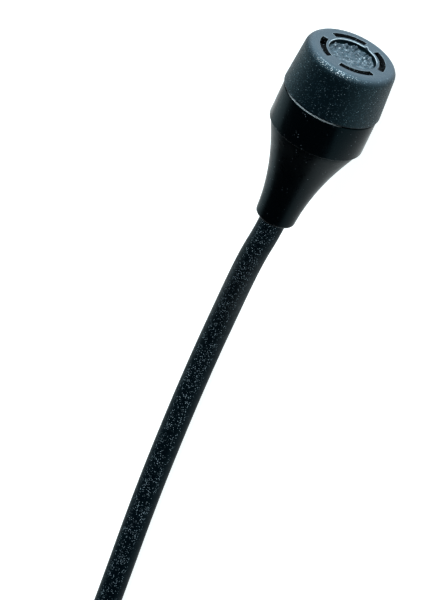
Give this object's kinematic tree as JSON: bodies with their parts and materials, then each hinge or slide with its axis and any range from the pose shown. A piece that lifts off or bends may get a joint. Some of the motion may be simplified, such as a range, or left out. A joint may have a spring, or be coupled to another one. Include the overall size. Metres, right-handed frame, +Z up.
{
  "type": "lavalier microphone",
  "caption": "Small clip-on omnidirectional microphone: a tapered cap with curved slots on a smooth housing, a flared boot, and a thin cable coiled to a latching round connector.",
  "frame": {"origin": "bottom centre of the head's box, on the surface it lies on", "axes": "+X along the head's axis towards the cap, +Z up"},
  "size_m": [0.0798, 0.0456, 0.0114],
  "materials": {
    "cap_plastic": "fine textured matte",
    "screen_mesh": "fine black woven mesh",
    "foam": "open-cell foam",
    "seal_rubber": "smooth",
    "housing_black": "smooth satin black",
    "boot_rubber": "smooth satin rubber",
    "can_aluminium": "drawn",
    "brass": "turned",
    "film": "thin film",
    "insulator": "moulded",
    "board": "solder mask",
    "chip": "moulded epoxy",
    "ceramic": "fired ceramic",
    "cloth": "non-woven felt",
    "solder": "solder",
    "lead_red": "insulation",
    "lead_blue": "insulation",
    "lead_bare": "tinned strands",
    "cable_jacket": "matte jacket",
    "tie_fabric": "hook-and-loop weave",
    "shell_metal": "satin black plating",
    "gold": "gold plated",
    "steel": "bright",
    "latch_metal": "nickel plated"
  },
  "bodies": {
    "microphone": {"housing": "housing_black", "bend_relief": "boot_rubber", "capsule_can": "can_aluminium", "diaphragm_ring": "brass", "diaphragm": "film", "spacer_ring": "film", "backplate": "brass", "backplate_holder": "insulator", "gate_ring": "brass", "capsule_board": "board", "fet": "chip", "board_capacitors": "ceramic", "front_cloth": "cloth", "capsule_sleeve": "seal_rubber", "rear_washer": "insulator", "solder_joints": "solder", "signal_lead": "lead_red", "bias_lead": "lead_blue", "shield_lead": "lead_bare", "anchor_ferrule": "brass", "cable_end": "cable_jacket", "cable_tube": "cable_jacket", "cable_coil": "cable_jacket", "cable_tail": "cable_jacket", "coil_tie": "tie_fabric", "cable_chuck": "insulator", "connector_shell": "shell_metal", "socket_insert": "insulator", "socket_contacts": "gold", "connector_leads": "lead_red", "latch_spring": "steel", "latch_pin": "steel", "insert_screw": "steel", "tail_end": "cable_jacket"},
    "cap": {"grille_cap": "cap_plastic", "cap_screen": "screen_mesh", "cap_foam": "foam", "cap_grip_ring": "seal_rubber"},
    "latch": {"latch_lever": "latch_metal"},
    "relief": {"flex_relief": "boot_rubber"},
    "nut": {"back_nut": "shell_metal"}
  },
  "joints": [
    {"name": "cap_pull", "type": "slide", "parent": "microphone", "child": "cap", "axis": [1, 0, 0], "range_m": [0, 0.004]},
    {"name": "latch_press", "type": "hinge", "parent": "microphone", "child": "latch", "pos_m": [-0.0341, -0.0363, 0.00915], "axis": [0, 1, 0], "range_deg": [0, 5], "stiffness_Nm_per_rad": 0.05, "springref_deg": -2.86, "deforming": ["latch_spring"]},
    {"name": "relief_slide", "type": "slide", "parent": "microphone", "child": "relief", "axis": [-1, 0, 0], "range_m": [0, 0.003]},
    {"name": "nut_turn", "type": "hinge", "parent": "relief", "child": "nut", "pos_m": [-0.0435, -0.0363, 0.0053], "axis": [-1, 0, 0], "range_deg": [0, 1080]}
  ],
  "couplings": [
    {"joint": "nut_turn", "follows": "relief_slide", "rad_per_m": 6283.2}
  ]
}
